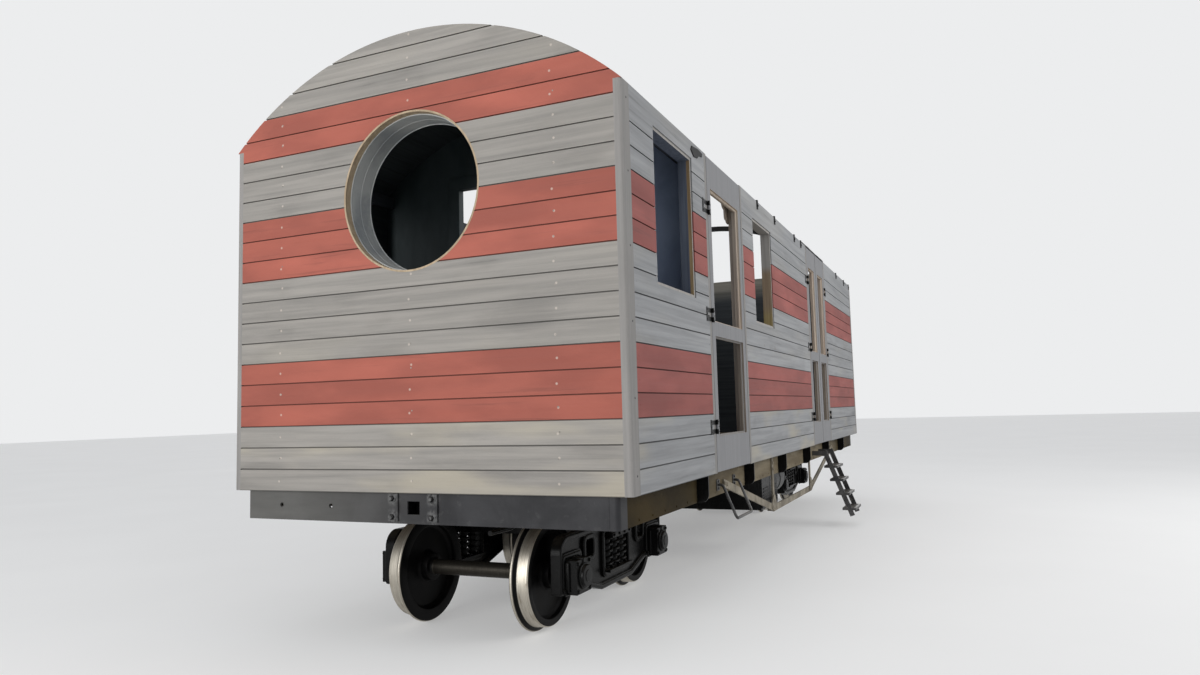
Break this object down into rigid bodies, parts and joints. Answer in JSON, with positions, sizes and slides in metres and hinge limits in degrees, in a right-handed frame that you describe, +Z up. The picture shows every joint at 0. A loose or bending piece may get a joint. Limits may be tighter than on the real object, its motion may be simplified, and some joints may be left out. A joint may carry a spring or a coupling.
{
  "type": "passenger coach",
  "caption": "Narrow gauge bogie coach with a planked wooden body, a large round end opening, glassless windows, hinged doors and one bare roof bow.",
  "frame": {"origin": "on the floor under the middle of the coach, at the level of the wheel flanges", "axes": "+Z up, +Y along the coach away from the round opening, +X to the side that the picture shows"},
  "size_m": [3.0728, 7.955, 3.2528],
  "materials": {
    "grey_planking": "weathered grey paint on boards",
    "door_paint": "weathered grey paint",
    "raw_wood": "bare softwood",
    "inside_paint": "satin blue-grey",
    "roof_boards": "weathered grey boards",
    "floor_boards": "worn boards",
    "headstock_paint": "satin dark grey",
    "frame_paint": "dusty grey-brown",
    "bow_steel": "satin black",
    "truss_steel": "dusty pale grey",
    "black_iron": "gloss black",
    "wheel_steel": "bright tread, black disc",
    "step_steel": "worn steel"
  },
  "bodies": {
    "coach": {"floor": "floor_boards", "end_wall_front": "grey_planking", "end_wall_rear": "grey_planking", "porthole_lining": "inside_paint", "porthole_rim": "raw_wood", "corner_posts": "door_paint", "cant_rails": "raw_wood", "partition": "inside_paint", "roof_front": "roof_boards", "roof_bows": "bow_steel", "window_liners": "raw_wood", "door_frames": "door_paint", "hinge_plates": "black_iron", "frame_sills": "frame_paint", "cross_members": "frame_paint", "headstocks": "headstock_paint", "outriggers": "black_iron", "trusses": "truss_steel", "battery_boxes": "black_iron", "air_reservoirs": "black_iron", "brake_gear": "black_iron", "step_irons": "step_steel", "step_ladders": "step_steel", "side_right_front": "grey_planking", "side_right_middle": "grey_planking", "side_right_rear": "grey_planking", "side_left_front": "grey_planking", "side_left_middle": "grey_planking", "side_left_rear": "grey_planking"},
    "leaf_right_single": {"door_right_single": "door_paint"},
    "leaf_right_double_front": {"door_right_double_front": "door_paint"},
    "leaf_right_double_rear": {"door_right_double_rear": "door_paint"},
    "leaf_left_single": {"door_left_single": "door_paint"},
    "leaf_left_double_front": {"door_left_double_front": "door_paint"},
    "leaf_left_double_rear": {"door_left_double_rear": "door_paint"},
    "bogie_front": {"bogie_frame_front": "black_iron", "springs_front": "black_iron", "axleboxes_front": "black_iron"},
    "axle_front_leading": {"wheelset_front_leading": "wheel_steel"},
    "axle_front_trailing": {"wheelset_front_trailing": "wheel_steel"},
    "bogie_rear": {"bogie_frame_rear": "black_iron", "springs_rear": "black_iron", "axleboxes_rear": "black_iron"},
    "axle_rear_leading": {"wheelset_rear_leading": "wheel_steel"},
    "axle_rear_trailing": {"wheelset_rear_trailing": "wheel_steel"}
  },
  "joints": [
    {"name": "leaf_right_single_hinge", "type": "hinge", "parent": "coach", "child": "leaf_right_single", "pos_m": [1.229, -2.612, 1.765], "axis": [0, 0, -1], "range_deg": [0, 105]},
    {"name": "leaf_right_double_front_hinge", "type": "hinge", "parent": "coach", "child": "leaf_right_double_front", "pos_m": [1.229, 0.768, 1.765], "axis": [0, 0, -1], "range_deg": [0, 105]},
    {"name": "leaf_right_double_rear_hinge", "type": "hinge", "parent": "coach", "child": "leaf_right_double_rear", "pos_m": [1.229, 1.782, 1.765], "axis": [0, 0, 1], "range_deg": [0, 105]},
    {"name": "leaf_left_single_hinge", "type": "hinge", "parent": "coach", "child": "leaf_left_single", "pos_m": [-1.229, -2.612, 1.765], "axis": [0, 0, 1], "range_deg": [0, 105]},
    {"name": "leaf_left_double_front_hinge", "type": "hinge", "parent": "coach", "child": "leaf_left_double_front", "pos_m": [-1.229, 0.768, 1.765], "axis": [0, 0, 1], "range_deg": [0, 105]},
    {"name": "leaf_left_double_rear_hinge", "type": "hinge", "parent": "coach", "child": "leaf_left_double_rear", "pos_m": [-1.229, 1.782, 1.765], "axis": [0, 0, -1], "range_deg": [0, 105]},
    {"name": "bogie_front_swivel", "type": "hinge", "parent": "coach", "child": "bogie_front", "pos_m": [0, -2.675, 0.607], "axis": [0, 0, 1], "range_deg": [-6, 6]},
    {"name": "axle_front_leading_spin", "type": "hinge", "parent": "bogie_front", "child": "axle_front_leading", "pos_m": [0, -3.3, 0.313], "axis": [1, 0, 0], "continuous": true},
    {"name": "axle_front_trailing_spin", "type": "hinge", "parent": "bogie_front", "child": "axle_front_trailing", "pos_m": [0, -2.05, 0.313], "axis": [1, 0, 0], "continuous": true},
    {"name": "bogie_rear_swivel", "type": "hinge", "parent": "coach", "child": "bogie_rear", "pos_m": [0, 2.675, 0.607], "axis": [0, 0, 1], "range_deg": [-6, 6]},
    {"name": "axle_rear_leading_spin", "type": "hinge", "parent": "bogie_rear", "child": "axle_rear_leading", "pos_m": [0, 2.05, 0.313], "axis": [1, 0, 0], "continuous": true},
    {"name": "axle_rear_trailing_spin", "type": "hinge", "parent": "bogie_rear", "child": "axle_rear_trailing", "pos_m": [0, 3.3, 0.313], "axis": [1, 0, 0], "continuous": true}
  ]
}
